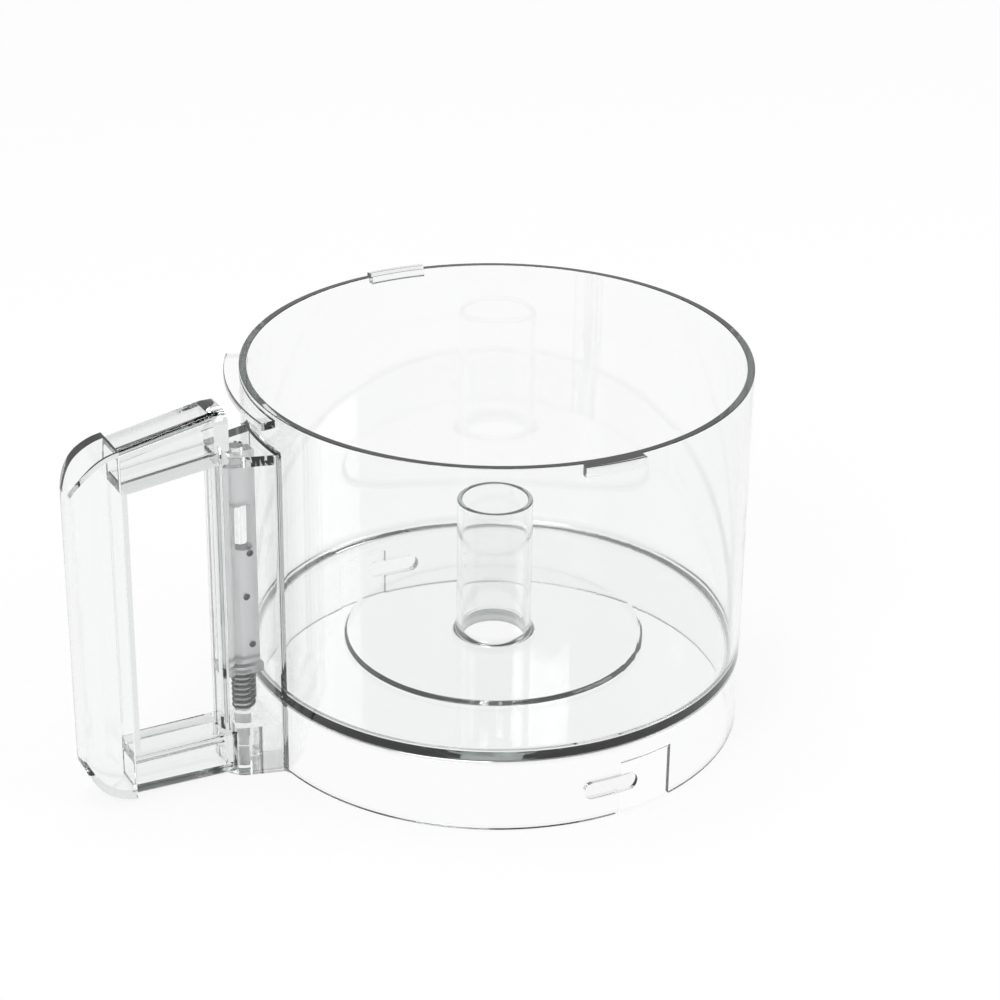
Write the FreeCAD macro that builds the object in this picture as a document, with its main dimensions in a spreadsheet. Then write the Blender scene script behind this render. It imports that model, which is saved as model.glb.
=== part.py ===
"""Clear food processor bowl with a hollow side handle and a sprung interlock rod.

Millimetres. Origin on the bowl's axis at the base, +Z up, handle along -X.
The lid presses the rod down through the handle's column, and its tip then
reaches the switch in the motor base that the bowl stands on.
"""
import FreeCAD, Part
import Sketcher
import math
import os
import re
from FreeCAD import Placement, Rotation, Vector

# Driving dimensions; spans and turns are degrees about the bowl's axis
SIZES = {
    # bowl wall, floor and skirt
    "rim_radius": 95.0,
    "wall": 2.8,
    "bowl_height": 145.0,
    "floor_top": 31.0,
    "floor_thickness": 3.0,
    "floor_blend": 3.5,
    "blend_step": 1.0,
    "skirt_chamfer": 1.4,
    "plateau_margin": 38.4,
    "plateau_rise": 1.2,
    # hub tube over the drive shaft
    "hub_radius": 14.4,
    "hub_bore_radius": 12.5,
    "hub_top": 87.5,
    "hub_foot": 1.7,
    # rim lugs that hold the lid, and the lead-in tab beside the handle
    "lug_width": 3.2,
    "lug_height": 4.0,
    "lug_span": 13.6,
    "lug_turn": 87.4,
    "tab_width": 5.7,
    "tab_height": 3.0,
    "tab_drop": 1.5,
    "tab_span": 37.2,
    "tab_turn": 168.8,
    # twist lock in the skirt
    "slot_length": 22.0,
    "slot_height": 7.0,
    "slot_middle": 12.5,
    "slot_turn": -90.3,
    "entry_span": 14.0,
    "entry_height": 21.0,
    "entry_depth": 1.3,
    "entry_turn": -80.8,
    # column that houses the rod
    "column_flare": 4.1,
    "column_margin": 1.0,
    "column_depth": 20.3,
    "column_corner": 5.4,
    "channel_corner": 1.6,
    "column_drop": 14.0,
    "column_wall": 3.0,
    "plate_thickness": 4.7,
    # arms of the handle, and the gap for the hand between them
    "handle_width": 18.4,
    "hand_gap": 33.7,
    "bar_thickness": 2.0,
    "arm_rise": 3.0,
    "arm_fall": 6.6,
    "arm_end_wall": 4.7,
    "top_arm_root": 19.8,
    "top_arm_tip": 17.1,
    "bottom_arm_height": 18.7,
    "seam_bottom": 1.0,
    "arm_side_wall": 4.0,
    "arm_skin": 4.2,
    "edge_round": 4.0,
    # grip cover
    "grip_depth": 18.7,
    "grip_corner": 21.0,
    "cover_wall": 2.8,
    # interlock rod
    "rod_width": 12.6,
    "rod_thickness": 5.0,
    "rod_foot": 40.0,
    "flange_height": 3.0,
    "flange_overhang": 0.8,
    "flange_gap": 0.4,
    "flange_depth": 9.6,
    "stem_radius": 2.8,
    "shoulder_height": 14.0,
    "tip_radius": 2.1,
    "tip_end": 1.0,
    "pin_radius": 3.0,
    "pin_recess": 0.5,
    "stop_gap": 0.3,
    "running_gap": 0.25,
    "travel": 4.0,
    "rod_slot_drop": 36.0,
    "rod_slot_height": 18.0,
    "rod_slot_width": 5.2,
    "rod_slot_offset": 2.2,
    "mark_radius": 1.2,
    "mark_depth": 2.0,
    "mark_offset": 3.6,
    # guide block in the foot of the column
    "guide_height": 19.5,
    "guide_nose_gap": 1.9,
    "guide_fit": 0.1,
    "collar_radius": 5.3,
    "collar_height": 4.0,
    # return spring
    "spring_radius": 4.2,
    "wire_radius": 0.6,
    "spring_pitch": 2.17,
    "spring_seat_gap": 0.05,
}

doc = FreeCAD.newDocument("food_processor_bowl")
sheet = doc.addObject("Spreadsheet::Sheet", "Sizes")
for row, (alias, size) in enumerate(SIZES.items(), start=1):
    sheet.set(f"A{row}", alias)
    sheet.set(f"B{row}", str(size))
    sheet.setAlias(f"B{row}", alias)
doc.recompute()


def bound(text):
    """The expression with every size name pointing at its cell."""
    return re.sub(r"[a-z_]{3,}", lambda word: f"Sizes.{word[0]}" if word[0] in SIZES else word[0], text)


def number(text):
    """What the expression gives with the sizes in the sheet."""
    return float(sheet.evalExpression(bound(text)))


def drive(feature, **settings):
    """Set properties of a feature from expressions of the sizes."""
    for name, text in settings.items():
        feature.setExpression(name, bound(text))


def origin_part(body, role):
    return next(item for item in body.Origin.OriginFeatures if item.Role == role)


def sketch_in(body, name, role, turn=None, offset=None):
    """Sketch on one of the body's own origin planes, turned about Z or lifted off the plane."""
    sketch = body.newObject("Sketcher::SketchObject", name)
    sketch.AttachmentSupport = [(origin_part(body, role), "")]
    sketch.MapMode = "FlatFace"
    if turn:
        sketch.AttachmentOffset = Placement(Vector(), Rotation(Vector(0, 1, 0), 1))
        sketch.setExpression("AttachmentOffset.Rotation.Angle", bound(turn))
    if offset:
        sketch.setExpression("AttachmentOffset.Base.z", bound(offset))
    return sketch


def free_sketch(name, rotation):
    """Sketch that stands by itself in the document."""
    sketch = doc.addObject("Sketcher::SketchObject", name)
    sketch.Placement = Placement(Vector(), rotation)
    return sketch


QUARTER = math.pi / 2
UPRIGHT = Rotation(Vector(1, 0, 0), 90)
FLAT = Rotation()


def hold(sketch, kind, *where, size):
    """One sketch constraint whose value follows the sizes."""
    index = sketch.addConstraint(Sketcher.Constraint(kind, *where, number(size)))
    sketch.setExpression(f"Constraints[{index}]", bound(size))


def polygon(sketch, corners):
    """Closed outline of straight lines through corners, each a pair of expressions."""
    first = sketch.GeometryCount
    points = [Vector(number(x), number(y), 0) for x, y in corners]
    count = len(points)
    for index in range(count):
        sketch.addGeometry(Part.LineSegment(points[index], points[(index + 1) % count]))
    for index in range(count):
        following = first + (index + 1) % count
        sketch.addConstraint(Sketcher.Constraint("Coincident", first + index, 2, following, 1))
    for index, (x, y) in enumerate(corners):
        hold(sketch, "DistanceX", -1, 1, first + index, 1, size=x)
        hold(sketch, "DistanceY", -1, 1, first + index, 1, size=y)


def rectangle(sketch, left, bottom, right, top):
    polygon(sketch, [(left, bottom), (right, bottom), (right, top), (left, top)])


def circle(sketch, x, y, radius):
    first = sketch.addGeometry(Part.Circle(Vector(number(x), number(y), 0), Vector(0, 0, 1), number(radius)))
    hold(sketch, "DistanceX", -1, 1, first, 3, size=x)
    hold(sketch, "DistanceY", -1, 1, first, 3, size=y)
    hold(sketch, "Radius", first, size=radius)


def stadium(sketch, middle, length, height):
    """Round-ended slot, level, centred on the sketch's upright axis."""
    reach = number(f"({length} - {height}) / 2")
    radius = number(f"{height} / 2")
    level = number(middle)
    up = Vector(0, 0, 1)
    ends = [
        Part.ArcOfCircle(Part.Circle(Vector(reach, level, 0), up, radius), -QUARTER, QUARTER),
        Part.ArcOfCircle(Part.Circle(Vector(-reach, level, 0), up, radius), QUARTER, 3 * QUARTER),
    ]
    right, left = [sketch.addGeometry(end) for end in ends]
    top = sketch.addGeometry(Part.LineSegment(Vector(reach, level + radius, 0), Vector(-reach, level + radius, 0)))
    foot = sketch.addGeometry(Part.LineSegment(Vector(-reach, level - radius, 0), Vector(reach, level - radius, 0)))
    for before, after in ((right, top), (top, left), (left, foot), (foot, right)):
        sketch.addConstraint(Sketcher.Constraint("Tangent", before, 2, after, 1))
    hold(sketch, "Radius", right, size=f"{height} / 2")
    hold(sketch, "DistanceX", -1, 1, right, 3, size=f"({length} - {height}) / 2")
    hold(sketch, "DistanceY", -1, 1, right, 3, size=middle)
    hold(sketch, "DistanceX", -1, 1, left, 3, size=f"-({length} - {height}) / 2")
    hold(sketch, "DistanceY", -1, 1, left, 3, size=middle)


def new_body(name):
    body = doc.addObject("PartDesign::Body", name)
    body.Label = name
    return body


def pad(body, sketch, length, both_sides=False, backwards=False):
    feature = body.newObject("PartDesign::Pad", sketch.Name + "_pad")
    feature.Profile = sketch
    feature.Midplane = both_sides
    feature.Reversed = backwards
    drive(feature, Length=length)
    return feature


def pocket(body, sketch, length, both_sides=False, backwards=False):
    feature = body.newObject("PartDesign::Pocket", sketch.Name + "_pocket")
    feature.Profile = sketch
    feature.Midplane = both_sides
    feature.Reversed = backwards
    drive(feature, Length=length)
    return feature


def turned(body, kind, sketch, angle):
    """Revolution or groove of a sketch about the bowl's axis."""
    feature = body.newObject(f"PartDesign::{kind}", sketch.Name + "_" + kind.lower())
    feature.Profile = sketch
    feature.ReferenceAxis = (sketch, ["V_Axis"])
    feature.Midplane = True
    drive(feature, Angle=angle)
    return feature


def opposite_pair(body, features, name):
    """Repeat features half a turn round the bowl's axis."""
    pattern = body.newObject("PartDesign::PolarPattern", name)
    pattern.Originals = features
    pattern.Axis = (origin_part(body, "Z_Axis"), [""])
    pattern.Angle = 360
    pattern.Occurrences = 2
    body.Tip = pattern
    return pattern


def rounded(body, name, radius, wanted):
    """Fillet on the edges of the body so far that the test picks."""
    doc.recompute()
    base = body.Tip
    names = [f"Edge{index}" for index, edge in enumerate(base.Shape.Edges, start=1) if wanted(edge)]
    feature = body.newObject("PartDesign::Fillet", name)
    feature.Base = (base, names)
    drive(feature, Radius=radius)
    body.Tip = feature
    return feature


# Places that follow the bowl's radius and height
COLUMN_OUTER = "(rim_radius + column_depth)"
COLUMN_TOP = "(bowl_height - column_drop)"
NOSE_HALF = "(handle_width / 2 + column_margin)"
ROOT_HALF = "(handle_width / 2 + column_margin + column_flare)"
SEAM = "(rim_radius + column_depth + hand_gap + bar_thickness)"
ARM_END_TOP = "(bowl_height + arm_rise)"
ARM_SEAM_TOP = "(bowl_height + arm_rise - arm_fall)"
WINDOW_TOP_ROOT = "(bowl_height + arm_rise - top_arm_root)"
WINDOW_TOP_TIP = "(bowl_height + arm_rise - arm_fall - top_arm_tip)"
GRIP_OUTER = f"({SEAM} + grip_depth)"
ROD_MIDDLE = f"({COLUMN_OUTER} - column_wall - flange_gap - flange_overhang - rod_width / 2)"
GUIDE_OUTER = f"({COLUMN_OUTER} - column_wall - guide_nose_gap)"
COLLAR_TOP = "(guide_height + collar_height)"

# Bowl: wall, floor and skirt are one turned profile with the hub tube in the middle
bowl = new_body("bowl")
section = sketch_in(bowl, "bowl_section", "XZ_Plane")
INNER = "rim_radius - wall"
UNDER = "floor_top - floor_thickness"
RAISED = "floor_top + plateau_rise"
PLATEAU = "rim_radius - plateau_margin"
polygon(section, [
    ("hub_bore_radius", UNDER),
    ("hub_bore_radius", "hub_top"),
    ("hub_radius", "hub_top"),
    ("hub_radius", f"{RAISED} + hub_foot"),
    ("hub_radius + hub_foot", RAISED),
    (PLATEAU, RAISED),
    (f"{PLATEAU} + plateau_rise", "floor_top"),
    (f"{INNER} - floor_blend", "floor_top"),
    (f"{INNER} - blend_step", "floor_top + blend_step"),
    (INNER, "floor_top + floor_blend"),
    (INNER, "bowl_height"),
    ("rim_radius", "bowl_height"),
    ("rim_radius", "0"),
    (INNER, "0"),
    (INNER, f"{UNDER} - skirt_chamfer"),
    (f"{INNER} - skirt_chamfer", UNDER),
])
turned(bowl, "Revolution", section, "360")

# Rim lugs and the tab run into the wall's thickness, so they are one with it
BITE = "rim_radius - wall / 2"
lug = sketch_in(bowl, "lug_section", "XZ_Plane", turn="lug_turn")
rectangle(lug, BITE, "bowl_height - lug_height", "rim_radius + lug_width", "bowl_height")
lug_feature = turned(bowl, "Revolution", lug, "lug_span")
opposite_pair(bowl, [lug_feature], "lug_pair")
tab = sketch_in(bowl, "tab_section", "XZ_Plane", turn="tab_turn")
TAB_TOP = "bowl_height - tab_drop"
rectangle(tab, BITE, f"{TAB_TOP} - tab_height", "rim_radius + tab_width", TAB_TOP)
turned(bowl, "Revolution", tab, "tab_span")

# Twist lock: a lug of the motor base enters the recess and turns into the slot
entry = sketch_in(bowl, "entry_section", "XZ_Plane", turn="entry_turn")
rectangle(entry, f"{INNER} - wall", "-wall", f"{INNER} + entry_depth", "entry_height")
entry_feature = turned(bowl, "Groove", entry, "entry_span")
slot = sketch_in(bowl, "slot_outline", "YZ_Plane", turn="slot_turn")
stadium(slot, "slot_middle", "slot_length", "slot_height")
slot_feature = pocket(bowl, slot, "rim_radius + wall", backwards=True)
opposite_pair(bowl, [entry_feature, slot_feature], "twist_lock_pair")

# Handle frame: column beside the bowl, two box arms and the bar they end in
handle = new_body("handle")
frame_side = sketch_in(handle, "frame_side", "XZ_Plane")
ROOT = f"-rim_radius + {ROOT_HALF}"
END_FACE = f"-{COLUMN_OUTER} + arm_end_wall"
polygon(frame_side, [
    (ROOT, "0"),
    (ROOT, COLUMN_TOP),
    (END_FACE, COLUMN_TOP),
    (END_FACE, ARM_END_TOP),
    (f"-{COLUMN_OUTER}", ARM_END_TOP),
    (f"-{SEAM}", ARM_SEAM_TOP),
    (f"-{SEAM}", "seam_bottom"),
    (f"-{COLUMN_OUTER}", "0"),
])
polygon(frame_side, [
    (f"-{COLUMN_OUTER}", "bottom_arm_height"),
    (f"-{COLUMN_OUTER}", WINDOW_TOP_ROOT),
    (f"-{SEAM} + bar_thickness", WINDOW_TOP_TIP),
    (f"-{SEAM} + bar_thickness", "bottom_arm_height"),
])
pad(handle, frame_side, "handle_width", both_sides=True)
column = sketch_in(handle, "column_plan", "XY_Plane")
polygon(column, [
    (ROOT, f"-{ROOT_HALF}"),
    ("-rim_radius", f"-{ROOT_HALF}"),
    (f"-{COLUMN_OUTER} + column_corner", f"-{NOSE_HALF}"),
    (f"-{COLUMN_OUTER}", f"-{NOSE_HALF} + column_corner"),
    (f"-{COLUMN_OUTER}", f"{NOSE_HALF} - column_corner"),
    (f"-{COLUMN_OUTER} + column_corner", NOSE_HALF),
    ("-rim_radius", ROOT_HALF),
    (ROOT, ROOT_HALF),
])
pad(handle, column, COLUMN_TOP)
channel = sketch_in(handle, "channel_plan", "XY_Plane")
CHANNEL_ROOT = f"({ROOT_HALF} - column_wall)"
CHANNEL_NOSE = f"({NOSE_HALF} - column_wall)"
CHANNEL_FLANK = f"({CHANNEL_NOSE} + channel_corner * column_flare / (column_depth - column_wall))"
CHANNEL_OUTER = f"-{COLUMN_OUTER} + column_wall"
polygon(channel, [
    (ROOT, f"-{CHANNEL_ROOT}"),
    ("-rim_radius", f"-{CHANNEL_ROOT}"),
    (f"{CHANNEL_OUTER} + channel_corner", f"-{CHANNEL_FLANK}"),
    (CHANNEL_OUTER, f"-{CHANNEL_NOSE} + channel_corner"),
    (CHANNEL_OUTER, f"{CHANNEL_NOSE} - channel_corner"),
    (f"{CHANNEL_OUTER} + channel_corner", CHANNEL_FLANK),
    ("-rim_radius", CHANNEL_ROOT),
    (ROOT, CHANNEL_ROOT),
])
pocket(handle, channel, f"{COLUMN_TOP} - plate_thickness", backwards=True)
cavities = sketch_in(handle, "arm_cavities", "XZ_Plane")
SEAM_UNDERSIDE = f"{WINDOW_TOP_TIP} - ({WINDOW_TOP_ROOT} - {WINDOW_TOP_TIP}) * bar_thickness / hand_gap"
polygon(cavities, [
    (f"-{COLUMN_OUTER}", f"{WINDOW_TOP_ROOT} + arm_skin"),
    (f"-{COLUMN_OUTER}", f"{ARM_END_TOP} - arm_skin"),
    (f"-{SEAM}", f"{ARM_SEAM_TOP} - arm_skin"),
    (f"-{SEAM}", f"{SEAM_UNDERSIDE} + arm_skin"),
])
polygon(cavities, [
    (f"-{COLUMN_OUTER}", "arm_skin"),
    (f"-{COLUMN_OUTER}", "bottom_arm_height - arm_skin"),
    (f"-{SEAM}", "bottom_arm_height - arm_skin"),
    (f"-{SEAM}", "seam_bottom + arm_skin"),
])
pocket(handle, cavities, "handle_width - 2 * arm_side_wall", both_sides=True)
wall_cut = sketch_in(handle, "bowl_outline", "XY_Plane")
circle(wall_cut, "0", "0", "rim_radius")
pocket(handle, wall_cut, ARM_END_TOP, backwards=True)
pin_hole = sketch_in(handle, "pin_hole", "XY_Plane")
circle(pin_hole, f"-{ROD_MIDDLE}", "0", "pin_radius + running_gap")
pocket(handle, pin_hole, ARM_END_TOP, backwards=True)


def long_outer_edge(edge):
    """Outer long edges of the two arms, where a hand meets them."""
    box = edge.BoundBox
    flank = box.YLength < 0.01 and abs(abs(box.YMin) - number("handle_width / 2")) < 0.01
    along = box.XLength > number("hand_gap") / 2
    return flank and along


rounded(handle, "arm_edges", "edge_round", long_outer_edge)


def arc_about(x, level, radius, start, end):
    middle = Vector(x, level, 0)
    return Part.ArcOfCircle(Part.Circle(middle, Vector(0, 0, 1), radius), start, end)


# Grip cover: where an upright half-round nose meets a side outline with two large corners
def grip_solid(name, inset):
    """Solid inside the grip's outline, set in by the inset and open at the seam."""
    side = free_sketch(name + "_side", UPRIGHT)
    middle_x = f"-{GRIP_OUTER} + grip_corner"
    radius = f"grip_corner - {inset}"
    rise = "sqrt(grip_corner ^ 2 - (grip_corner - grip_depth) ^ 2)"
    levels = [f"{ARM_SEAM_TOP} - {rise}", f"seam_bottom + {rise}"]
    reach = number(radius)
    corner_x = number(middle_x)
    head, heel = [number(level) for level in levels]
    lead = number("grip_corner - grip_depth") / reach
    top = side.addGeometry(arc_about(corner_x, head, reach, QUARTER + lead, 2 * QUARTER))
    nose = side.addGeometry(Part.LineSegment(
        Vector(corner_x - reach, head, 0), Vector(corner_x - reach, heel, 0)))
    foot = side.addGeometry(arc_about(corner_x, heel, reach, 2 * QUARTER, 3 * QUARTER - lead))
    ends = [side.Geometry[top].StartPoint, side.Geometry[foot].EndPoint]
    back = side.addGeometry(Part.LineSegment(ends[1], ends[0]))
    side.addConstraint(Sketcher.Constraint("Tangent", top, 2, nose, 1))
    side.addConstraint(Sketcher.Constraint("Tangent", nose, 2, foot, 1))
    side.addConstraint(Sketcher.Constraint("Coincident", foot, 2, back, 1))
    side.addConstraint(Sketcher.Constraint("Coincident", back, 2, top, 1))
    for arc, level in ((top, levels[0]), (foot, levels[1])):
        hold(side, "DistanceX", -1, 1, arc, 3, size=middle_x)
        hold(side, "DistanceY", -1, 1, arc, 3, size=level)
    hold(side, "Radius", top, size=radius)
    hold(side, "DistanceX", -1, 1, top, 1, size=f"-{SEAM}")
    hold(side, "DistanceX", -1, 1, foot, 2, size=f"-{SEAM}")
    across = doc.addObject("Part::Extrusion", name + "_across")
    across.Base = side
    across.DirMode = "Normal"
    across.Solid = True
    across.Symmetric = True
    drive(across, LengthFwd="2 * handle_width")

    plan = free_sketch(name + "_plan", FLAT)
    half_width = f"handle_width / 2 - {inset}"
    round_x = f"-{GRIP_OUTER} + handle_width / 2"
    half = number(half_width)
    seam_x = -number(SEAM)
    round_middle = number(round_x)
    nose_arc = plan.addGeometry(arc_about(round_middle, 0, half, QUARTER, 3 * QUARTER))
    near = plan.addGeometry(Part.LineSegment(Vector(round_middle, -half, 0), Vector(seam_x, -half, 0)))
    closing = plan.addGeometry(Part.LineSegment(Vector(seam_x, -half, 0), Vector(seam_x, half, 0)))
    far = plan.addGeometry(Part.LineSegment(Vector(seam_x, half, 0), Vector(round_middle, half, 0)))
    plan.addConstraint(Sketcher.Constraint("Tangent", nose_arc, 2, near, 1))
    plan.addConstraint(Sketcher.Constraint("Coincident", near, 2, closing, 1))
    plan.addConstraint(Sketcher.Constraint("Coincident", closing, 2, far, 1))
    plan.addConstraint(Sketcher.Constraint("Tangent", far, 2, nose_arc, 1))
    plan.addConstraint(Sketcher.Constraint("Vertical", closing))
    plan.addConstraint(Sketcher.Constraint("Horizontal", near))
    hold(plan, "DistanceX", -1, 1, nose_arc, 3, size=round_x)
    hold(plan, "DistanceY", -1, 1, nose_arc, 3, size="0")
    hold(plan, "Radius", nose_arc, size=half_width)
    hold(plan, "DistanceX", -1, 1, near, 2, size=f"-{SEAM}")
    upwards = doc.addObject("Part::Extrusion", name + "_upwards")
    upwards.Base = plan
    upwards.DirMode = "Normal"
    upwards.Solid = True
    drive(upwards, LengthFwd="bowl_height")

    common = doc.addObject("Part::MultiCommon", name)
    common.Shapes = [across, upwards]
    return common


grip_cover = doc.addObject("Part::Cut", "grip_cover")
grip_cover.Label = "grip_cover"
grip_cover.Base = grip_solid("grip_outside", "0")
grip_cover.Tool = grip_solid("grip_inside", "cover_wall")

# Guide block that closes the column's foot and steers the rod's stem
rod_guide = new_body("rod_guide")
block = sketch_in(rod_guide, "guide_plan", "XY_Plane")
GUIDE_ROOT = f"{CHANNEL_ROOT} - guide_fit"
GUIDE_NOSE = (
    f"{CHANNEL_ROOT} - guide_fit - column_flare"
    " * (column_depth - column_wall - guide_nose_gap) / (column_depth - column_wall)"
)
polygon(block, [
    (ROOT, f"-({GUIDE_ROOT})"),
    ("-rim_radius", f"-({GUIDE_ROOT})"),
    (f"-{GUIDE_OUTER}", f"-({GUIDE_NOSE})"),
    (f"-{GUIDE_OUTER}", GUIDE_NOSE),
    ("-rim_radius", GUIDE_ROOT),
    (ROOT, GUIDE_ROOT),
])
pad(rod_guide, block, "guide_height")
collar = sketch_in(rod_guide, "collar_plan", "XY_Plane")
circle(collar, f"-{ROD_MIDDLE}", "0", "collar_radius")
pad(rod_guide, collar, COLLAR_TOP)
guide_back = sketch_in(rod_guide, "guide_back", "XY_Plane")
circle(guide_back, "0", "0", "rim_radius + guide_fit")
pocket(rod_guide, guide_back, COLLAR_TOP, backwards=True)
stem_bore = sketch_in(rod_guide, "stem_bore", "XY_Plane", offset="shoulder_height - travel - stop_gap")
circle(stem_bore, f"-{ROD_MIDDLE}", "0", "stem_radius + running_gap")
pocket(rod_guide, stem_bore, COLLAR_TOP, backwards=True)
tip_bore = sketch_in(rod_guide, "tip_bore", "XY_Plane")
circle(tip_bore, f"-{ROD_MIDDLE}", "0", "tip_radius + running_gap")
pocket(rod_guide, tip_bore, COLLAR_TOP, backwards=True)

# Interlock rod: flat bar with a spring flange, a stepped stem below and a pin on top
interlock_rod = new_body("interlock_rod")
bar = sketch_in(interlock_rod, "bar_face", "XZ_Plane")
BAR_TOP = f"({COLUMN_TOP} - plate_thickness - stop_gap)"
rectangle(
    bar, f"-{ROD_MIDDLE} - rod_width / 2", "rod_foot", f"-{ROD_MIDDLE} + rod_width / 2", BAR_TOP)
SLOT_LEFT = f"-{ROD_MIDDLE} + rod_slot_offset - rod_slot_width / 2"
SLOT_FOOT = f"{BAR_TOP} - rod_slot_drop"
rectangle(
    bar, SLOT_LEFT, SLOT_FOOT, f"{SLOT_LEFT} + rod_slot_width", f"{SLOT_FOOT} + rod_slot_height")
pad(interlock_rod, bar, "rod_thickness", both_sides=True)
flange = sketch_in(interlock_rod, "flange_plan", "XY_Plane", offset="rod_foot")
FLANGE_HALF = "rod_width / 2 + flange_overhang"
rectangle(
    flange, f"-{ROD_MIDDLE} - ({FLANGE_HALF})", "-flange_depth / 2",
    f"-{ROD_MIDDLE} + {FLANGE_HALF}", "flange_depth / 2")
pad(interlock_rod, flange, "flange_height")
stem = sketch_in(interlock_rod, "stem_plan", "XY_Plane", offset="rod_foot")
circle(stem, f"-{ROD_MIDDLE}", "0", "stem_radius")
pad(interlock_rod, stem, "rod_foot - shoulder_height", backwards=True)
tip = sketch_in(interlock_rod, "tip_plan", "XY_Plane", offset="shoulder_height")
circle(tip, f"-{ROD_MIDDLE}", "0", "tip_radius")
pad(interlock_rod, tip, "shoulder_height - tip_end", backwards=True)
marks = sketch_in(interlock_rod, "ejector_marks", "XZ_Plane", offset="rod_thickness / 2")
for x, drop in (("mark_offset", "1.6"), ("mark_offset / 2", "19.2"), ("mark_offset", "39.3")):
    circle(marks, f"-{ROD_MIDDLE} + {x}", f"{SLOT_FOOT} - {drop}", "mark_radius")
pocket(interlock_rod, marks, "mark_depth")
pin = sketch_in(interlock_rod, "pin_plan", "XY_Plane", offset=BAR_TOP)
circle(pin, f"-{ROD_MIDDLE}", "0", "pin_radius")
pad(interlock_rod, pin, f"{COLUMN_TOP} - pin_recess - {BAR_TOP}")

# Return spring: six-sided wire, from the guide's collar up to the rod's flange
coil = doc.addObject("Part::Helix", "coil_path")
COIL_FOOT = f"{COLLAR_TOP} + wire_radius + spring_seat_gap"
COIL_HEAD = "rod_foot - wire_radius - spring_seat_gap"
drive(coil, Radius="spring_radius", Height=f"{COIL_HEAD} - ({COIL_FOOT})", Pitch="spring_pitch")
wire = doc.addObject("Part::RegularPolygon", "wire_section")
wire.Polygon = 6
wire.Placement = Placement(Vector(), UPRIGHT)
drive(wire, Circumradius="wire_radius")
for feature, x in ((coil, f"-{ROD_MIDDLE}"), (wire, f"-{ROD_MIDDLE} + spring_radius")):
    feature.setExpression("Placement.Base.x", bound(x))
    feature.setExpression("Placement.Base.z", bound(COIL_FOOT))
return_spring = doc.addObject("Part::Sweep", "return_spring")
return_spring.Label = "return_spring"
return_spring.Sections = [wire]
return_spring.Spine = (coil, ["Edge1"])
return_spring.Solid = True
return_spring.Frenet = True

doc.recompute()

PIECES = [bowl, handle, grip_cover, rod_guide, interlock_rod, return_spring]
for item in doc.Objects:
    if "Invalid" in item.State or "Error" in item.State:
        raise RuntimeError(f"{item.Name} failed: {item.State}")
for piece in PIECES:
    shape = piece.Shape
    if shape.isNull() or not shape.isValid() or not shape.Solids:
        raise RuntimeError(f"{piece.Label} has no valid solid")
    print(piece.Label, "solids", len(shape.Solids), "volume", round(shape.Volume, 1), "faces", len(shape.Faces))

os.makedirs("parts", exist_ok=True)
for piece in PIECES:
    piece.Shape.exportStep(f"parts/{piece.Label}.step")
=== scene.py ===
"""Looks of the clear food processor bowl: moulded pieces, their finishes, light and camera."""
import math

import bmesh
import bpy
from mathutils import Matrix, Vector


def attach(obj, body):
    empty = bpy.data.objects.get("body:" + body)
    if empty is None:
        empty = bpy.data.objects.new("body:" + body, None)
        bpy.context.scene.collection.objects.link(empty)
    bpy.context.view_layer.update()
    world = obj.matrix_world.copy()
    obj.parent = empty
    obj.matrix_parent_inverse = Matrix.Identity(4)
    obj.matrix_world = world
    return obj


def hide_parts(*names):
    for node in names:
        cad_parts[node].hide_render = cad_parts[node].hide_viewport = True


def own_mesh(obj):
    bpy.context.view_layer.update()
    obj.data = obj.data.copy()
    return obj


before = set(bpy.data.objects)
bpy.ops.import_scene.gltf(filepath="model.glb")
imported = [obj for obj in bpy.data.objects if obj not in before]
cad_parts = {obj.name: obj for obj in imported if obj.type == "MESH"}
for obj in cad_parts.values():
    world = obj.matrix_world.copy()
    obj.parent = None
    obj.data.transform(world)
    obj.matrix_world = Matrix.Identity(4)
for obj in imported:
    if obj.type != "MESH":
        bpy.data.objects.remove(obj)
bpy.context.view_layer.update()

# Lengths are in millimetres and turns in degrees, the same as the solids have.
# The handle lies towards -X, so its places are distances out from the bowl's axis.
MM = 0.001
X_AXIS, Y_AXIS, Z_AXIS = Vector((1, 0, 0)), Vector((0, 1, 0)), Vector((0, 0, 1))

# Bowl
RIM = 95.0
WALL = 2.8
INNER = RIM - WALL
MID_WALL = RIM - WALL / 2
BOWL_HEIGHT = 145.0
RIM_EDGE = 0.35
FOOT_EDGE = 0.6
FLOOR_TOP = 31.0
FLOOR_UNDER = 28.0
FLOOR_ROUND = 3.5
SKIRT_ROUND = 2.0
RAISED_TOP = 32.2
RAISED_RADIUS = 56.6
RAISED_SLOPE = 1.2
RAISED_EDGE = 0.4
HUB_RADIUS = 14.4
HUB_BORE = 12.5
HUB_TOP = 87.5
HUB_ROUND = 2.4
HUB_EDGE = 0.5

# Two lugs and one lead-in tab, outside the rim
LUG_TURNS = (87.4, 267.4)
LUG_SPAN = 13.6
LUG_REACH = 3.2
LUG_DEPTH = 4.0
LUG_EDGE = 0.6
TAB_TURN = 150.2
TAB_SPAN = 37.2
TAB_REACH = 5.7
TAB_LOW = 140.5
TAB_HIGH = 143.5
TAB_EDGE = 0.5

# Twist lock: two slots, each beside a recess where the base's lug comes in
LOCK_TURNS = (-90.3, 89.7)
LOCK_HALF = 11.0
LOCK_LOW = 9.0
LOCK_HIGH = 16.0
LOCK_END = 3.49
LOCK_CUT = (85.0, 15.0)  # from this radius, this far out
ENTRY_TURNS = (-80.8, 99.2)
ENTRY_SPAN = 14.0
ENTRY_TOP = 21.0
ENTRY_DEPTH = 1.3
ENTRY_EDGE = 0.5

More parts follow.
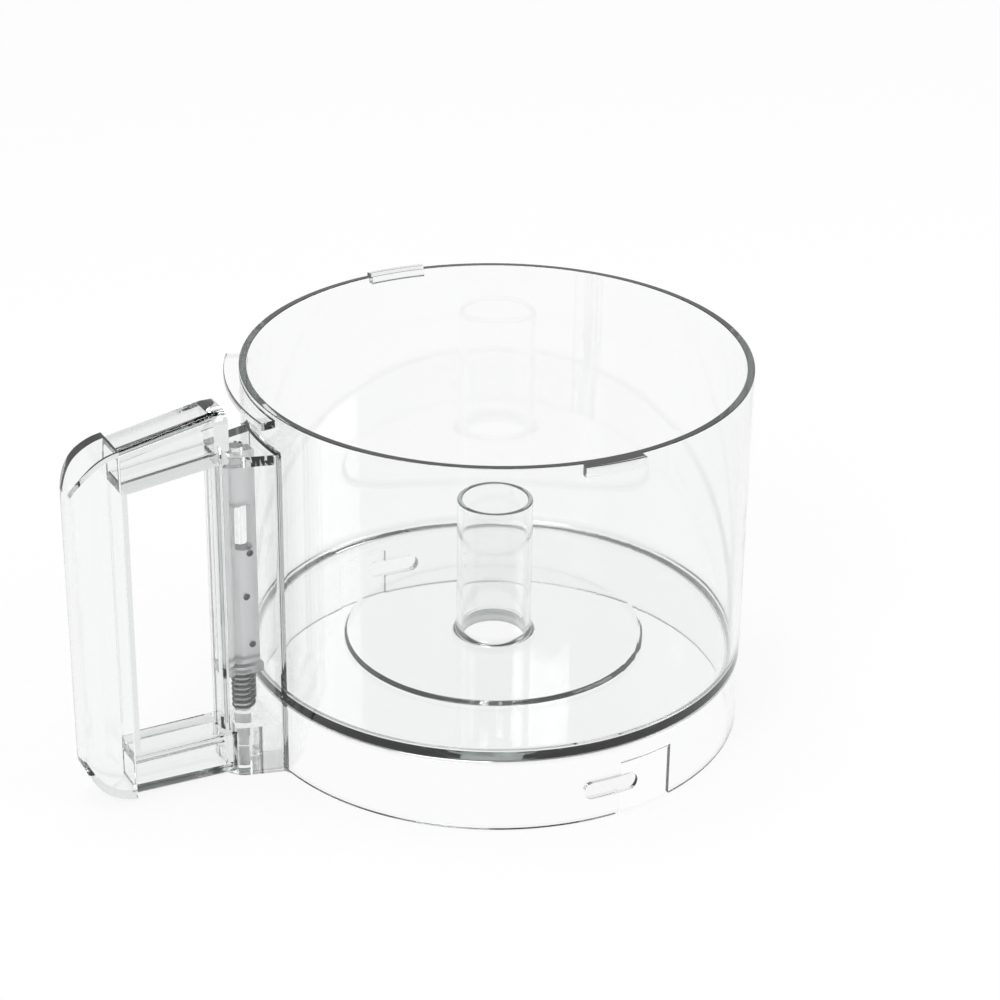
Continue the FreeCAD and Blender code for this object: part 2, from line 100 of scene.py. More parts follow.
# Handle: column against the wall, two box arms, and a bar at the weld's seam
INSIDE = 80.0  # where shapes start that the bowl's own cylinder trims
COLUMN_OUTER = 115.3
COLUMN_SHOULDER = 109.9
COLUMN_TOP = 131.0
COLUMN_CORNER = 1.6
ROOT_HALF = 14.3
SHOULDER_HALF = 10.2
FRONT_HALF = 4.8
PLATE = 4.7
PIN_HOLE = 3.25
CHANNEL_HALF = 11.3
CHANNEL_SHOULDER = (110.7, 7.58)
CHANNEL_END = (112.3, 5.6)
CHANNEL_CORNER = 0.6
HALF_WIDTH = 9.2
SEAM = 151.0
SEAM_FOOT = 1.0
ARM_ROOT = 110.6
ARM_TOP_ROOT = 148.0
ARM_TOP_SEAM = 141.4
WINDOW_TOP_ROOT = 128.2
WINDOW_TOP_SEAM = 124.07
WINDOW_FOOT = 18.7
OUTER_EDGE = 4.8
WINDOW_EDGE = 1.0
ARM_SKIN = 4.2
HOLLOW_HALF = 5.2
HOLLOW_EDGE = 1.2
TOP_FALL = 0.18  # of the top arm's upper side, over each millimetre outwards
WINDOW_FALL = 0.12  # of its lower side
BAR = 2.0
BAR_FOOT = 6.0
BAR_TOP = 132.0

# Fillets where the column meets the bowl
ROOT_ROUND = 1.8
ROOT_REACH = 2.4
ROOT_SINK = 0.1
ROOT_SPAN = 18.8

# Grip cover
GRIP_OUTER = 169.7
GRIP_CORNER = 21.0
COVER_WALL = 2.8
WELD_LINE = 0.08  # hairline at the weld, so that the seam shows

# Guide block in the column's foot
GUIDE_HALF = 11.2
GUIDE_OUTER = 110.4
GUIDE_OUTER_HALF = 7.55
GUIDE_CORNER = 0.5
GUIDE_TOP = 19.5
COLLAR_TOP = 23.5
COLLAR_RADIUS = 5.3
GUIDE_LEDGE = 9.7
WIDE_BORE = 3.05
NARROW_BORE = 2.35

# Interlock rod
ROD_OUT = 104.8
ROD_HALF = 6.3
ROD_DEPTH = 5.0
ROD_FOOT = 40.0
ROD_TOP = 126.0
SLOT_INNER = 100.0
SLOT_OUTER = 105.2
SLOT_LOW = 90.0
SLOT_HIGH = 108.0
SLOT_CORNER = 1.0
FLANGE_HALF = 7.1
FLANGE_HALF_DEPTH = 4.8
FLANGE_CORNER = 0.8
FLANGE_RISE = 3.0
MARKS = ((3.6, 88.4), (1.8, 70.8), (3.6, 50.7))  # from the middle towards the bowl, and up
MARK_RADIUS = 1.2
MARK_DEPTH = 2.0
STEM = (2.8, 14.0, 41.0)  # radius, foot and top
TIP = (2.1, 1.0, 15.0)
PIN = (3.0, 125.0, 130.5)

# Return spring
WIRE = 0.6
COIL_RADIUS = 4.2
COIL_PITCH = 2.17
COIL_GAP = 0.05

# Fineness of the meshes
SAME_POINT = 0.001
ROUND_STEPS = 288
ARC_STEPS = 8
ARC_STEPS_PER_MM = 2.5


def rounded_edges(bm, radius, segments, wanted):
    """Round every edge that the test picks by its two ends."""
    edges = [edge for edge in bm.edges if wanted(edge.verts[0].co, edge.verts[1].co)]
    bmesh.ops.bevel(
        bm, geom=edges, offset=radius, offset_type="OFFSET", segments=segments,
        profile=0.5, affect="EDGES", material=-1, clamp_overlap=True)


def outline_face(bm, points):
    """Face through points, each of its corners rounded by the radius that follows its place."""
    corners = [bm.verts.new(point[0]) for point in points]
    bm.faces.new(corners)
    for corner, (_, radius) in zip(corners, points):
        if radius:
            bmesh.ops.bevel(
                bm, geom=[corner], offset=radius, offset_type="OFFSET",
                segments=max(ARC_STEPS, round(ARC_STEPS_PER_MM * radius)),
                profile=0.5, affect="VERTICES", material=-1, clamp_overlap=True)
    bm.faces.ensure_lookup_table()
    return bm.faces[0]


def slab(points, along, depth):
    """Solid made by pushing a rounded outline along a direction."""
    bm = bmesh.new()
    face = outline_face(bm, points)
    pushed = bmesh.ops.extrude_face_region(bm, geom=[face])
    moved = [item for item in pushed["geom"] if isinstance(item, bmesh.types.BMVert)]
    bmesh.ops.translate(bm, verts=moved, vec=along * depth)
    bmesh.ops.recalc_face_normals(bm, faces=bm.faces)
    return bm


def upright_slab(points, half):
    """Side view of (distance out, height, corner radius), thickened to both sides."""
    return slab(
        [(Vector((-out, -half, z)), radius) for out, z, radius in points], Y_AXIS, 2 * half)


def flat_slab(points, low, high):
    """Outline seen from above, of (x, y, corner radius), between two heights."""
    return slab([(Vector((x, y, low)), radius) for x, y, radius in points], Z_AXIS, high - low)


def both_flanks(points):
    """Outline seen from above, from one flank's (distance out, half width, corner radius)."""
    near = [(-out, -half, radius) for out, half, radius in points]
    return near + [(x, -y, radius) for x, y, radius in reversed(near)]


def turned(points, steps, start=0.0, span=360.0):
    """Solid turned about the bowl's axis from an outline of (radius, z, corner radius)."""
    bm = bmesh.new()
    face = outline_face(bm, [(Vector((r, 0, z)), radius) for r, z, radius in points])
    full = span == 360.0
    if full:
        bmesh.ops.delete(bm, geom=[face], context="FACES_ONLY")
    bmesh.ops.rotate(
        bm, verts=bm.verts, cent=Vector(), matrix=Matrix.Rotation(math.radians(start), 3, "Z"))
    section = bm.verts[:] + bm.edges[:] + ([] if full else bm.faces[:])
    bmesh.ops.spin(
        bm, geom=section, cent=Vector(), axis=Z_AXIS, dvec=Vector(), angle=math.radians(span),
        steps=steps, use_merge=full, use_duplicate=False)
    if not full:
        bmesh.ops.remove_doubles(bm, verts=bm.verts, dist=SAME_POINT)
    bmesh.ops.recalc_face_normals(bm, faces=bm.faces)
    return bm


def round_bar(out, radius, low, high, segments=64):
    """Upright round bar at a distance out from the bowl's axis."""
    bm = bmesh.new()
    place = Matrix.Translation((-out, 0, (low + high) / 2))
    bmesh.ops.create_cone(
        bm, cap_ends=True, segments=segments, radius1=radius, radius2=radius,
        depth=high - low, matrix=place)
    return bm


def draft(bm):
    """Loose object that holds a shape while it is cut and joined."""
    mesh = bpy.data.meshes.new("draft")
    bm.to_mesh(mesh)
    bm.free()
    obj = bpy.data.objects.new("draft", mesh)
    bpy.context.scene.collection.objects.link(obj)
    return obj


def combine(piece, other, how):
    """Join another shape to the piece, cut it away, or keep what both share."""
    tool = draft(other) if isinstance(other, bmesh.types.BMesh) else other
    step = piece.modifiers.new("combine", "BOOLEAN")
    step.operation = how
    step.solver = "EXACT"
    step.object = tool
    depsgraph = bpy.context.evaluated_depsgraph_get()
    result = bpy.data.meshes.new_from_object(piece.evaluated_get(depsgraph))
    piece.modifiers.clear()
    used = piece.data
    piece.data = result
    bpy.data.meshes.remove(used)
    left_over = tool.data
    bpy.data.objects.remove(tool)
    bpy.data.meshes.remove(left_over)
    return piece


def finished(piece, name, finish, body, nodes, crease=28.0):
    """Scale to metres, shade smooth up to its creases, and hang on the CAD body."""
    bm = bmesh.new()
    bm.from_mesh(piece.data)
    bmesh.ops.remove_doubles(bm, verts=bm.verts, dist=2 * SAME_POINT)
    bmesh.ops.dissolve_degenerate(bm, edges=bm.edges, dist=2 * SAME_POINT)
    bmesh.ops.scale(bm, verts=bm.verts, vec=(MM, MM, MM))
    bm.to_mesh(piece.data)
    bm.free()
    piece.data.shade_smooth()
    piece.data.set_sharp_from_angle(angle=math.radians(crease))
    look, slot = finish
    piece.data.materials.clear()
    piece.data.materials.append(look)
    piece.name = name
    piece.data.name = name
    even = piece.modifiers.new("even_shading", "WEIGHTED_NORMAL")
    even.keep_sharp = True
    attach(piece, body)
    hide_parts(*nodes)
    return piece


def linear(code):
    """Linear colour of an sRGB hex value."""
    parts = [int(code[place:place + 2], 16) / 255 for place in (1, 3, 5)]
    return tuple(
        part / 12.92 if part <= 0.04045 else ((part + 0.055) / 1.055) ** 2.4
        for part in parts) + (1.0,)


def per_metre(size):
    """Scale of a noise whose lumps are about this many millimetres across."""
    return 1 / (MM * size)


def add(tree, kind, inputs=None, **settings):
    """One node with its settings; an input is a value, or another node's socket to link."""
    made = tree.nodes.new(kind)
    for name, setting in settings.items():
        setattr(made, name, setting)
    for name, what in (inputs or {}).items():
        if isinstance(what, bpy.types.NodeSocket):
            tree.links.new(what, made.inputs[name])
        else:
            made.inputs[name].default_value = what
    return made


def material(name):
    """Empty material and its node tree."""
    made = bpy.data.materials.new(name)
    made.use_nodes = True
    made.node_tree.nodes.clear()
    return made, made.node_tree


def moulded_polycarbonate():
    """Clear polycarbonate, injection-moulded in a polished tool.

    The eye sees bright glossy faces, dark grey-green edges where it looks through the depth
    of a wall, slow flow waves, and faint smears a few millimetres wide in the gloss.
    """
    made, tree = material("moulded_polycarbonate")
    place = add(tree, "ShaderNodeTexCoord").outputs["Object"]
    waves = add(tree, "ShaderNodeTexNoise", {
        "Vector": place, "Scale": per_metre(29.4), "Detail": 2.0})
    relief = add(tree, "ShaderNodeBump", {
        "Height": waves.outputs["Fac"], "Strength": 0.06, "Distance": 0.6 * MM})
    scuff = add(tree, "ShaderNodeTexNoise", {
        "Vector": place, "Scale": per_metre(4.76), "Detail": 4.0})
    gloss = add(tree, "ShaderNodeMapRange", {
        "Value": scuff.outputs["Fac"], "From Min": 0.3, "From Max": 0.8,
        "To Min": 0.01, "To Max": 0.035})
    surface = add(tree, "ShaderNodeBsdfPrincipled", {
        "Base Color": linear("#FFFFFF"), "Roughness": gloss.outputs["Result"], "IOR": 1.585,
        "Transmission Weight": 1.0, "Normal": relief.outputs["Normal"]})
    depth = add(tree, "ShaderNodeVolumeAbsorption", {"Color": linear("#BEC6C3"), "Density": 26.0})
    add(tree, "ShaderNodeOutputMaterial", {
        "Surface": surface.outputs["BSDF"], "Volume": depth.outputs["Volume"]})
    return made


def frosted_block():
    """Clear polycarbonate with a spark-eroded skin, which lets light through but blurs it.

    Real spark grain is about 0.05 mm, so it is drawn coarser here to show.
    """
    made, tree = material("frosted_polycarbonate")
    place = add(tree, "ShaderNodeTexCoord").outputs["Object"]
    grain = add(tree, "ShaderNodeTexNoise", {
        "Vector": place, "Scale": per_metre(1.43), "Detail": 2.0})
    relief = add(tree, "ShaderNodeBump", {
        "Height": grain.outputs["Fac"], "Strength": 0.2, "Distance": 0.2 * MM})
    surface = add(tree, "ShaderNodeBsdfPrincipled", {
        "Base Color": linear("#FAFBFB"), "Roughness": 0.1, "IOR": 1.585,
        "Transmission Weight": 1.0, "Normal": relief.outputs["Normal"]})
    add(tree, "ShaderNodeOutputMaterial", {"Surface": surface.outputs["BSDF"]})
    return made


def natural_acetal():
    """Uncoloured acetal, moulded: milky and waxy, and lets a little light in.

    Its tone is cloudy over a centimetre or two, and the ejector marks carry painted shade: dark
    colour where their recesses would lie in shadow.
    """
    made, tree = material("natural_acetal")
    place = add(tree, "ShaderNodeTexCoord").outputs["Object"]
    cloud = add(tree, "ShaderNodeTexNoise", {
        "Vector": place, "Scale": per_metre(16.7), "Detail": 3.0})
    tone = add(tree, "ShaderNodeMix", {
        "Factor": cloud.outputs["Fac"], "A": linear("#F8F8FA"), "B": linear("#FEFEFF")},
        data_type="RGBA")
    below_face = MM * (1.0 - ROD_DEPTH / 2)
    # Painted shade: a dark disc of colour over each ejector mark, standing in for the shadow
    # inside its recess.
    for towards_bowl, z in MARKS:
        middle = (MM * (towards_bowl - ROD_OUT), below_face, MM * z)
        apart = add(tree, "ShaderNodeVectorMath", {0: place, 1: middle}, operation="DISTANCE")
        outside_painted_shade = add(tree, "ShaderNodeMapRange", {
            "Value": apart.outputs["Value"], "From Min": MM * 1.6, "From Max": MM * 1.75})
        tone = add(tree, "ShaderNodeMix", {
            "Factor": outside_painted_shade.outputs["Result"], "A": linear("#2E3031"),
            "B": tone.outputs["Result"]}, data_type="RGBA")
    relief = add(tree, "ShaderNodeBump", {
        "Height": cloud.outputs["Fac"], "Strength": 0.1, "Distance": 0.3 * MM})
    surface = add(tree, "ShaderNodeBsdfPrincipled", {
        "Base Color": tone.outputs["Result"], "Roughness": 0.3, "IOR": 1.48,
        "Transmission Weight": 0.8, "Normal": relief.outputs["Normal"]})
    add(tree, "ShaderNodeOutputMaterial", {"Surface": surface.outputs["BSDF"]})
    return made


def spring_wire():
    """Drawn spring steel: dark and shiny, with streaks from the drawing die.

    Real streaks are some hundredths of a millimetre wide, so they are drawn coarser to show.
    """
    made, tree = material("drawn_spring_steel")
    place = add(tree, "ShaderNodeTexCoord").outputs["Object"]
    marks = add(tree, "ShaderNodeTexNoise", {
        "Vector": place, "Scale": per_metre(1.11), "Detail": 3.0})
    gloss = add(tree, "ShaderNodeMapRange", {
        "Value": marks.outputs["Fac"], "To Min": 0.2, "To Max": 0.42})
    surface = add(tree, "ShaderNodeBsdfPrincipled", {
        "Base Color": linear("#55585A"), "Metallic": 1.0, "Roughness": gloss.outputs["Result"]})
    add(tree, "ShaderNodeOutputMaterial", {"Surface": surface.outputs["BSDF"]})
    return made


# Each finish is a material and the record's slot that it stands for
CLEAR = (moulded_polycarbonate(), "clear_polycarbonate")
FROSTED = (frosted_block(), "frosted_guide")
ACETAL = (natural_acetal(), "natural_acetal")
STEEL = (spring_wire(), "spring_steel")


def ledge(reach, low, high, edge, steps, start, span):
    """Stretch of a ring that stands out from the wall."""
    return turned([
        (MID_WALL, low, 0), (RIM + reach, low, edge), (RIM + reach, high, edge),
        (MID_WALL, high, 0)], steps, start, span)


def bowl_shape():
    """Wall, floor, hub and skirt in one turning, then the lugs, the tab and the twist lock."""
    bowl = draft(turned([
        (HUB_BORE, FLOOR_UNDER, RAISED_EDGE),
        (HUB_BORE, HUB_TOP, HUB_EDGE),
        (HUB_RADIUS, HUB_TOP, HUB_EDGE),
        (HUB_RADIUS, RAISED_TOP, HUB_ROUND),
        (RAISED_RADIUS, RAISED_TOP, RAISED_EDGE),
        (RAISED_RADIUS + RAISED_SLOPE, FLOOR_TOP, RAISED_EDGE),
        (INNER, FLOOR_TOP, FLOOR_ROUND),
        (INNER, BOWL_HEIGHT, RIM_EDGE),
        (RIM, BOWL_HEIGHT, RIM_EDGE),
        (RIM, 0, FOOT_EDGE),
        (INNER, 0, FOOT_EDGE),
        (INNER, FLOOR_UNDER, SKIRT_ROUND),
    ], ROUND_STEPS))
    for turn in LUG_TURNS:
        combine(bowl, ledge(
            LUG_REACH, BOWL_HEIGHT - LUG_DEPTH, BOWL_HEIGHT, LUG_EDGE, 16,
            turn - LUG_SPAN / 2, LUG_SPAN), "UNION")
    combine(bowl, ledge(
        TAB_REACH, TAB_LOW, TAB_HIGH, TAB_EDGE, 40, TAB_TURN, TAB_SPAN), "UNION")
    for turn in ENTRY_TURNS:
        combine(bowl, turned([
            (INNER - WALL, -WALL, 0), (INNER + ENTRY_DEPTH, -WALL, 0),
            (INNER + ENTRY_DEPTH, ENTRY_TOP, ENTRY_EDGE), (INNER - WALL, ENTRY_TOP, 0),
        ], 16, turn - ENTRY_SPAN / 2, ENTRY_SPAN), "DIFFERENCE")
    start, length = LOCK_CUT
    for turn in LOCK_TURNS:
        opening = slab([
            (Vector((start, -LOCK_HALF, LOCK_LOW)), LOCK_END),
            (Vector((start, LOCK_HALF, LOCK_LOW)), LOCK_END),
            (Vector((start, LOCK_HALF, LOCK_HIGH)), LOCK_END),
            (Vector((start, -LOCK_HALF, LOCK_HIGH)), LOCK_END)], X_AXIS, length)
        bmesh.ops.rotate(
            opening, verts=opening.verts, cent=Vector(),
            matrix=Matrix.Rotation(math.radians(turn), 3, "Z"))
        combine(bowl, opening, "DIFFERENCE")
    return bowl


def lengthwise(low, high):
    """Test for edges that run along an arm with their middle between two heights."""
    def wanted(a, b):
        runs_out = abs(a.y - b.y) < 0.01 and abs(a.x - b.x) > 2.0
        return runs_out and low < (a.z + b.z) / 2 < high
    return wanted


def top_arm():
    """Sloping arm, well rounded above and sharper where it faces the window."""
    arm = upright_slab([
        (ARM_ROOT, ARM_TOP_ROOT, 0), (COLUMN_OUTER, ARM_TOP_ROOT, 0), (SEAM, ARM_TOP_SEAM, 0),
        (SEAM, WINDOW_TOP_SEAM, 0), (COLUMN_OUTER, WINDOW_TOP_ROOT, 0),
        (ARM_ROOT, WINDOW_TOP_ROOT, 0)], HALF_WIDTH)
    rounded_edges(arm, OUTER_EDGE, 8, lengthwise(135, 150))
    rounded_edges(arm, WINDOW_EDGE, 4, lengthwise(120, 135))
    return arm


def bottom_arm():
    """Level arm, well rounded below and sharper where it faces the window."""
    arm = upright_slab([
        (ARM_ROOT, 0, 0), (ARM_ROOT, WINDOW_FOOT, 0), (SEAM, WINDOW_FOOT, 0),
        (SEAM, SEAM_FOOT, 0), (COLUMN_OUTER, 0, 0)], HALF_WIDTH)
    rounded_edges(arm, OUTER_EDGE, 8, lengthwise(-1, 8))
    rounded_edges(arm, WINDOW_EDGE, 4, lengthwise(8, 25))
    return arm


def arm_hollow(root_low, root_high, seam_high, seam_low):
    """Room inside an arm, from the column to just past the seam."""
    past_seam = SEAM + 1
    hollow = upright_slab([
        (COLUMN_OUTER, root_low, 0), (COLUMN_OUTER, root_high, 0),
        (past_seam, seam_high, 0), (past_seam, seam_low, 0)], HOLLOW_HALF)
    rounded_edges(hollow, HOLLOW_EDGE, 5, lengthwise(-1, 150))
    return hollow


def handle_shape():
    """Two arms, the bar and the column with its channel, hollowed and trimmed to the bowl."""
    handle = draft(top_arm())
    combine(handle, bottom_arm(), "UNION")
    combine(handle, upright_slab([
        (SEAM, BAR_FOOT, 0), (SEAM - BAR, BAR_FOOT, 0),
        (SEAM - BAR, BAR_TOP, 0), (SEAM, BAR_TOP, 0)], HALF_WIDTH), "UNION")
    combine(handle, flat_slab(both_flanks([
        (INSIDE, ROOT_HALF, 0), (RIM, ROOT_HALF, 0),
        (COLUMN_SHOULDER, SHOULDER_HALF, COLUMN_CORNER),
        (COLUMN_OUTER, FRONT_HALF, COLUMN_CORNER)]), 0, COLUMN_TOP), "UNION")
    combine(handle, flat_slab(both_flanks([
        (INSIDE, CHANNEL_HALF, 0), (RIM, CHANNEL_HALF, 0),
        (*CHANNEL_SHOULDER, CHANNEL_CORNER), (*CHANNEL_END, CHANNEL_CORNER),
    ]), -1, COLUMN_TOP - PLATE), "DIFFERENCE")
    combine(handle, arm_hollow(
        WINDOW_TOP_ROOT + ARM_SKIN, ARM_TOP_ROOT - ARM_SKIN,
        ARM_TOP_SEAM - ARM_SKIN - TOP_FALL, WINDOW_TOP_SEAM + ARM_SKIN - WINDOW_FALL),
        "DIFFERENCE")
    combine(handle, arm_hollow(
        ARM_SKIN, WINDOW_FOOT - ARM_SKIN, WINDOW_FOOT - ARM_SKIN, SEAM_FOOT + ARM_SKIN),
        "DIFFERENCE")
    combine(handle, round_bar(ROD_OUT, PIN_HOLE, 120, 150), "DIFFERENCE")
    combine(handle, round_bar(0, MID_WALL, -5, 160, ROUND_STEPS), "DIFFERENCE")
    return handle


def root_fillet(side):
    """Corner between the bowl's wall and one flank of the column, seen from above."""
    corner = Vector((-math.sqrt(RIM ** 2 - ROOT_HALF ** 2), side * ROOT_HALF))
    flank = Vector((
        -COLUMN_SHOULDER - corner.x, side * (SHOULDER_HALF - ROOT_HALF))).normalized()
    round_wall = Vector((-corner.y, corner.x)).normalized() * -side
    inside = Vector((0.5, -side))
    return [
        (*(corner + inside), 0),
        (*(corner + ROOT_REACH * flank + ROOT_SINK * inside), 0),
        (*corner, ROOT_ROUND),
        (*(corner + ROOT_REACH * round_wall + ROOT_SINK * inside), 0)]


def bowl_and_handle():
    """The bowl with the handle welded on, and fillets round the column's root."""
    bowl = bowl_shape()
    combine(bowl, handle_shape(), "UNION")
    for side in (-1, 1):
        combine(bowl, flat_slab(root_fillet(side), 0, COLUMN_TOP), "UNION")
    combine(bowl, turned([
        (RIM - 1, COLUMN_TOP - 1, 0),
        (RIM + ROOT_REACH, COLUMN_TOP - ROOT_SINK, 0),
        (RIM, COLUMN_TOP, ROOT_ROUND),
        (RIM - ROOT_SINK, COLUMN_TOP + ROOT_REACH, 0),
    ], 24, 180 - ROOT_SPAN / 2, ROOT_SPAN), "UNION")
    return finished(bowl, "bowl_and_handle", CLEAR, "bowl_unit", ("bowl", "handle"))


def grip(inset):
    """Solid inside the grip's outline, set in by the inset and open at the seam.

    Its side view has two large corners whose arcs meet the arms at the seam, and its plan
    has a half-round front.
    """
    rise = math.sqrt(GRIP_CORNER ** 2 - (GRIP_CORNER - (GRIP_OUTER - SEAM)) ** 2)
    top = ARM_TOP_SEAM - rise + GRIP_CORNER - inset
    foot = SEAM_FOOT + rise - GRIP_CORNER + inset
    front = GRIP_OUTER - inset
    half = HALF_WIDTH - inset
    corner = GRIP_CORNER - inset
    side = upright_slab([
        (140, top, 0), (front, top, corner), (front, foot, corner), (140, foot, 0)], 20)
    seam = SEAM + WELD_LINE
    plan = flat_slab([
        (-seam, half, 0), (-front, half, half), (-front, -half, half), (-seam, -half, 0)],
        -10, 160)
    return combine(draft(side), plan, "INTERSECT")


def grip_cover():
    """Hollow nose in front of the seam."""
    cover = grip(0.0)
    combine(cover, grip(COVER_WALL), "DIFFERENCE")
    return finished(cover, "grip_cover_clear", CLEAR, "bowl_unit", ("grip_cover",))


def guide_block():
    """Block in the column's foot: a collar carries the spring, a stepped bore the stem."""
    guide = draft(flat_slab(both_flanks([
        (INSIDE, GUIDE_HALF, 0), (RIM, GUIDE_HALF, 0),
        (GUIDE_OUTER, GUIDE_OUTER_HALF, GUIDE_CORNER)]), 0, GUIDE_TOP))
    combine(guide, round_bar(ROD_OUT, COLLAR_RADIUS, 10, COLLAR_TOP), "UNION")
    combine(guide, round_bar(0, RIM + 0.1, -5, 40, ROUND_STEPS), "DIFFERENCE")
    combine(guide, round_bar(ROD_OUT, WIDE_BORE, GUIDE_LEDGE, 40), "DIFFERENCE")
    combine(guide, round_bar(ROD_OUT, NARROW_BORE, -5, 40), "DIFFERENCE")
    return finished(guide, "rod_guide_frosted", FROSTED, "bowl_unit", ("rod_guide",))


def interlock_rod():
    """Slotted bar with its flange and ejector marks, stepped stem below and pin above."""
    half_depth = ROD_DEPTH / 2
    rod = draft(upright_slab([
        (ROD_OUT + ROD_HALF, ROD_FOOT, 0.4), (ROD_OUT - ROD_HALF, ROD_FOOT, 0.4),
        (ROD_OUT - ROD_HALF, ROD_TOP, 0.8), (ROD_OUT + ROD_HALF, ROD_TOP, 0.8)], half_depth))
    combine(rod, upright_slab([
        (SLOT_OUTER, SLOT_LOW, SLOT_CORNER), (SLOT_INNER, SLOT_LOW, SLOT_CORNER),
        (SLOT_INNER, SLOT_HIGH, SLOT_CORNER), (SLOT_OUTER, SLOT_HIGH, SLOT_CORNER)],
        ROD_DEPTH), "DIFFERENCE")
    combine(rod, flat_slab(both_flanks([
        (ROD_OUT + FLANGE_HALF, FLANGE_HALF_DEPTH, FLANGE_CORNER),
        (ROD_OUT - FLANGE_HALF, FLANGE_HALF_DEPTH, FLANGE_CORNER)]),
        ROD_FOOT, ROD_FOOT + FLANGE_RISE), "UNION")
    for towards_bowl, z in MARKS:
        mark = round_bar(0, MARK_RADIUS, -MARK_DEPTH, MARK_DEPTH, 32)
        bmesh.ops.rotate(
            mark, verts=mark.verts, cent=Vector(), matrix=Matrix.Rotation(math.pi / 2, 3, "X"))
        bmesh.ops.translate(
            mark, verts=mark.verts, vec=(towards_bowl - ROD_OUT, -half_depth, z))
        combine(rod, mark, "DIFFERENCE")
    for bar in (STEM, TIP, PIN):
        combine(rod, round_bar(ROD_OUT, *bar), "UNION")
    return finished(rod, "interlock_rod_acetal", ACETAL, "rod_unit", ("interlock_rod",))


def return_spring():
    """Round wire wound about the stem, from the guide's collar up to the rod's flange."""
    foot = COLLAR_TOP + WIRE + COIL_GAP
    rise = ROD_FOOT - WIRE - COIL_GAP - foot
    turns = rise / COIL_PITCH
    steps = round(turns * 40)
    bm = bmesh.new()
    bmesh.ops.create_circle(
        bm, cap_ends=False, segments=14, radius=WIRE,
        matrix=Matrix.Translation((COIL_RADIUS - ROD_OUT, 0, foot))
        @ Matrix.Rotation(math.pi / 2, 4, "X"))
    bmesh.ops.spin(
        bm, geom=bm.verts[:] + bm.edges[:], cent=Vector((-ROD_OUT, 0, 0)), axis=Z_AXIS,
        dvec=Vector((0, 0, rise / steps)), angle=turns * 2 * math.pi, steps=steps,
        use_merge=False)
    bmesh.ops.holes_fill(bm, edges=[edge for edge in bm.edges if edge.is_boundary], sides=0)
    bmesh.ops.recalc_face_normals(bm, faces=bm.faces)
    return finished(
        draft(bm), "return_spring_wire", STEEL, "bowl_unit", ("return_spring",), 50.0)


bowl_and_handle()
grip_cover()
guide_block()
interlock_rod()
spring = return_spring()
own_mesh(spring)


def white_paper():
    """Matt white sheet that takes the shadow, and is nearly pure white to the camera.

    Gloss and clear plastic see it as pure white.
    """
    made, tree = material("white_paper")
    path = add(tree, "ShaderNodeLightPath")
    direct = add(tree, "ShaderNodeMath", {
        0: path.outputs["Is Camera Ray"], 1: 0.88}, operation="MULTIPLY")
    through = add(tree, "ShaderNodeMath", {
        0: path.outputs["Is Glossy Ray"], 1: path.outputs["Is Transmission Ray"]},
        operation="MAXIMUM")
    share = add(tree, "ShaderNodeMath", {
        0: through.outputs[0], 1: direct.outputs[0]}, operation="MAXIMUM")
    sheet = add(tree, "ShaderNodeBsdfDiffuse", {"Color": linear("#FFFFFF")})
    glow = add(tree, "ShaderNodeEmission", {"Color": linear("#FFFFFF"), "Strength": 1.0})
    both = add(tree, "ShaderNodeMixShader", {
        0: share.outputs[0], 1: sheet.outputs[0], 2: glow.outputs[0]})
    add(tree, "ShaderNodeOutputMaterial", {"Surface": both.outputs[0]})
    return made


def studio_floor():
    """Large level sheet, a hair below the bowl's foot."""
    bm = bmesh.new()
    bmesh.ops.create_grid(bm, x_segments=1, y_segments=1, size=6.0)
    bmesh.ops.translate(bm, verts=bm.verts, vec=(0, 0, -0.2 * MM))
    floor = draft(bm)
    floor.name = floor.data.name = "floor"
    floor.data.materials.append(white_paper())


BEYOND = (0.466, 0.885, 0.0)  # level direction from the camera past the bowl


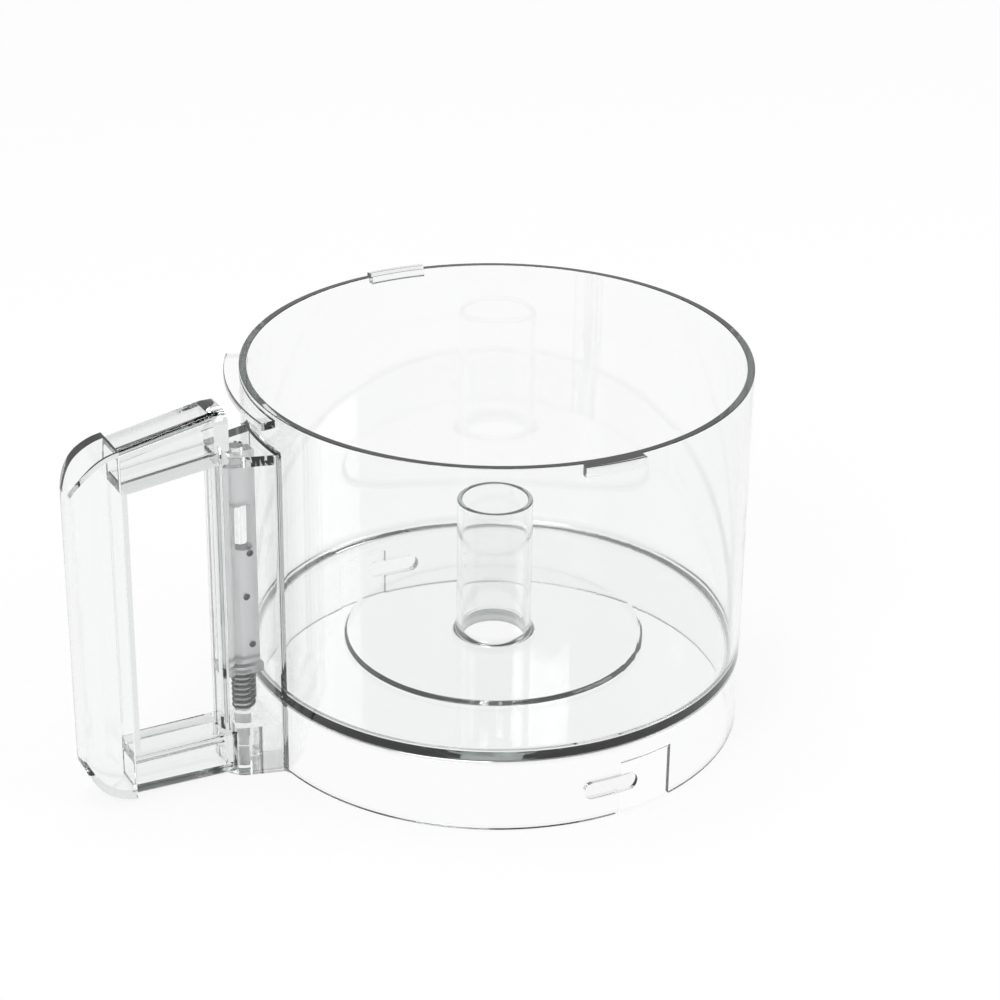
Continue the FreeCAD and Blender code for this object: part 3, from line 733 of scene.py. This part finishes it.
def studio_world():
    """White room that clear plastic sees bright beyond the bowl, and dim behind and overhead.

    The dim parts give the rim, the ring and the edges their dark lines.
    """
    world = bpy.data.worlds.new("studio")
    world.use_nodes = True
    tree = world.node_tree
    tree.nodes.clear()
    path = add(tree, "ShaderNodeLightPath")
    place = add(tree, "ShaderNodeTexCoord").outputs["Generated"]
    height = add(tree, "ShaderNodeSeparateXYZ", {"Vector": place})
    overhead = add(tree, "ShaderNodeMapRange", {
        "Value": height.outputs["Z"], "From Min": 0.42, "From Max": 0.75,
        "To Min": 1.0, "To Max": 0.12}, interpolation_type="SMOOTHSTEP")
    facing = add(tree, "ShaderNodeVectorMath", {0: place, 1: BEYOND}, operation="DOT_PRODUCT")
    behind = add(tree, "ShaderNodeMapRange", {
        "Value": facing.outputs["Value"], "From Min": -0.5, "From Max": 0.2,
        "To Min": 0.12, "To Max": 1.0}, interpolation_type="SMOOTHSTEP")
    room = add(tree, "ShaderNodeMath", {
        0: overhead.outputs["Result"], 1: behind.outputs["Result"]}, operation="MULTIPLY")
    through = add(tree, "ShaderNodeMath", {
        0: path.outputs["Is Glossy Ray"], 1: path.outputs["Is Transmission Ray"]},
        operation="MAXIMUM")
    level = add(tree, "ShaderNodeMix", {
        "Factor": through.outputs[0], "A": 0.55, "B": room.outputs[0]}, data_type="FLOAT")
    white = add(tree, "ShaderNodeMix", {
        "Factor": path.outputs["Is Camera Ray"], "A": level.outputs["Result"], "B": 1.0},
        data_type="FLOAT")
    backdrop = add(tree, "ShaderNodeBackground", {
        "Color": linear("#FFFFFF"), "Strength": white.outputs["Result"]})
    add(tree, "ShaderNodeOutputWorld", {"Surface": backdrop.outputs[0]})
    bpy.context.scene.world = world


def softbox(name, place, size, power):
    """Square lamp that faces the middle of the bowl; place and size in metres."""
    lamp = bpy.data.lights.new(name, "AREA")
    lamp.energy = power
    lamp.size = size
    holder = bpy.data.objects.new(name, lamp)
    bpy.context.scene.collection.objects.link(holder)
    holder.location = place
    holder.rotation_mode = "QUATERNION"
    target = Vector((0, 0, 0.07))
    holder.rotation_quaternion = (target - Vector(place)).to_track_quat("-Z", "Y")


CAMERA_PLACE = (-0.4275, -0.8147, 0.5431)
CAMERA_TURN = -27.8
CAMERA_DOWN = 26.4083
CAMERA_ROLL = 0.7989


def photo_camera():
    """Camera fitted to the photograph."""
    data = bpy.data.cameras.new("camera")
    data.sensor_fit = "HORIZONTAL"
    data.sensor_width = 36.0
    data.lens = 97.686
    data.clip_start = 0.05
    data.clip_end = 30.0
    camera = bpy.data.objects.new("camera", data)
    bpy.context.scene.collection.objects.link(camera)
    camera.matrix_world = (
        Matrix.Translation(CAMERA_PLACE)
        @ Matrix.Rotation(math.radians(CAMERA_TURN), 4, "Z")
        @ Matrix.Rotation(math.radians(90.0 - CAMERA_DOWN), 4, "X")
        @ Matrix.Rotation(math.radians(CAMERA_ROLL), 4, "Z"))
    return camera


studio_floor()
studio_world()
softbox("key", (-1.3, -0.9, 1.5), 0.8, 14.0)
softbox("fill", (1.4, -0.8, 1.1), 0.9, 9.0)
softbox("top", (-0.3, 0.2, 1.9), 0.7, 7.0)

scene = bpy.context.scene
scene.camera = photo_camera()
scene.view_settings.view_transform = "Standard"
scene.cycles.max_bounces = 32
scene.cycles.transmission_bounces = 32
scene.cycles.glossy_bounces = 12
